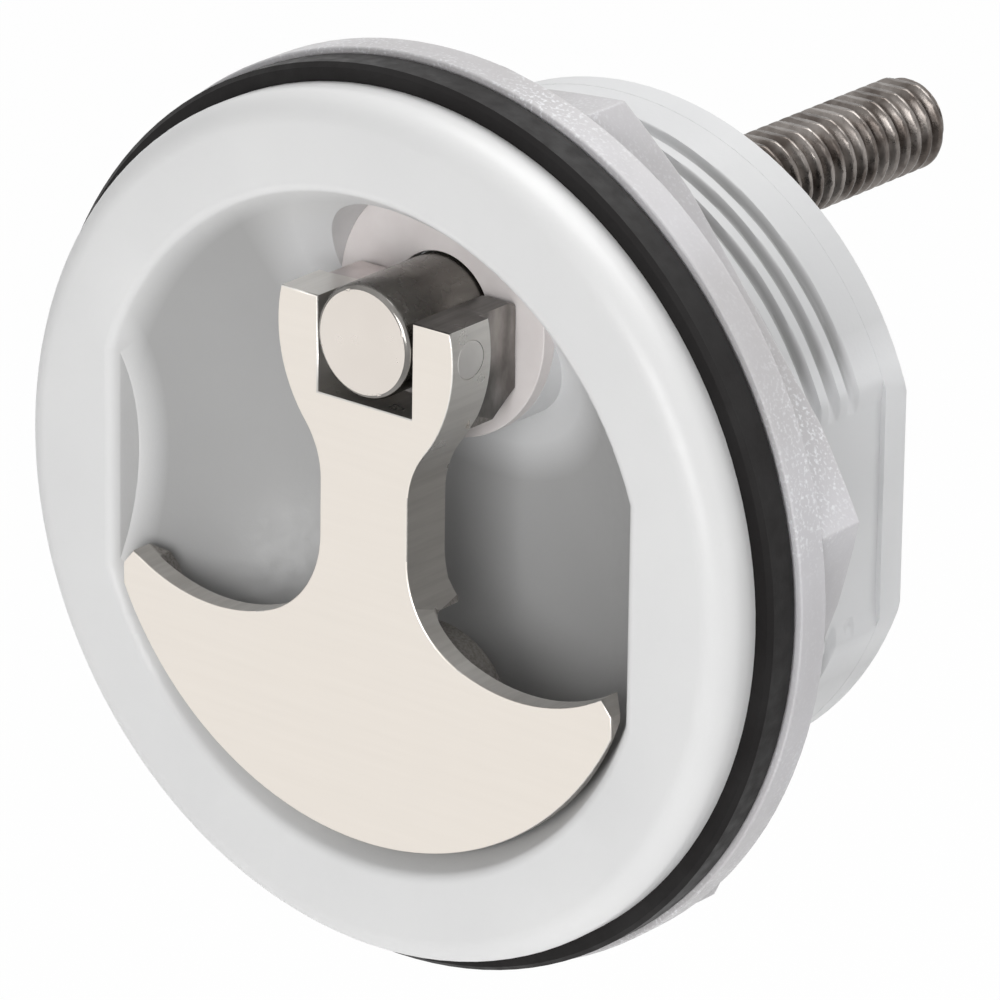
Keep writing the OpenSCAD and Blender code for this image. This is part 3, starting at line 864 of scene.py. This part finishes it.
def add_floor():
    """A level square of paper far under the latch."""
    mesh = bpy.data.meshes.new("floor")
    corners = np.array([[-1, -1], [1, -1], [1, 1], [-1, 1]]) * FLOOR_HALF
    mesh.from_pydata(np.column_stack([corners, np.full(4, FLOOR_Z)]), [], [[0, 1, 2, 3]])
    mesh.materials.append(floor_paper())
    floor = bpy.data.objects.new("floor", mesh)
    bpy.context.scene.collection.objects.link(floor)


def add_world():
    """White for the camera and for gloss, and a lower plain grey that fills the shadows."""
    world = bpy.data.worlds.new("studio")
    world.use_nodes = True
    tree = world.node_tree
    back = tree.nodes["Background"]
    back.inputs["Color"].default_value = (1, 1, 1, 1)
    level = new_node(tree, "ShaderNodeMapRange")
    level.inputs["To Min"].default_value = FILL
    shown = any_ray(tree, "Is Camera Ray", "Is Glossy Ray", "Is Transmission Ray")
    tree.links.new(shown, level.inputs["Value"])
    tree.links.new(level.outputs["Result"], back.inputs["Strength"])
    bpy.context.scene.world = world


def add_lamp(name, place, size, power):
    """A square soft lamp at a place in metres that looks at the latch."""
    lamp = bpy.data.objects.new(name, bpy.data.lights.new(name, "AREA"))
    lamp.data.size = size
    lamp.data.energy = power
    lamp.location = place
    towards = Vector(LAMP_AIM) - Vector(place)
    lamp.rotation_euler = towards.to_track_quat("-Z", "Y").to_euler()
    bpy.context.scene.collection.objects.link(lamp)


def main():
    add_camera()
    add_floor()
    add_world()
    add_lamp("key", (0.38, -0.90, 0.18), 0.5, 5.3)
    add_lamp("top", (0.10, 0.35, 0.85), 0.8, 8.0)
    add_lamp("side", (0.9, 0.30, -0.12), 0.8, 1.2)
    bpy.context.scene.view_settings.view_transform = "Standard"

    white = white_plastic()
    rubber = black_rubber()
    wire = spring_steel()
    make_housing(white)
    barrel_thread(white)
    dress("wear_disc", "wear_ring", wear_plastic(), "housing", EDGE_SMALL)
    dress("panel_gasket", "rubber_gasket", rubber, "housing")
    dress("panel_nut", "nylon_nut", nut_plastic(), "housing", EDGE_NUT)
    make_handle()
    make_spindle()
    dress("pivot_pin", "pin", ground_pin(), "handle", EDGE_SMALL)
    dress("front_seal", "seal_ring_front", rubber, "spindle")
    dress("rear_seal", "seal_ring_rear", rubber, "spindle")
    dress("spring_seat", "seat_washer", wire, "spring_seat", EDGE_SMALL)
    dress("retaining_clip", "clip", wire, "spindle", EDGE_SMALL)
    coil_spring(wire)


main()
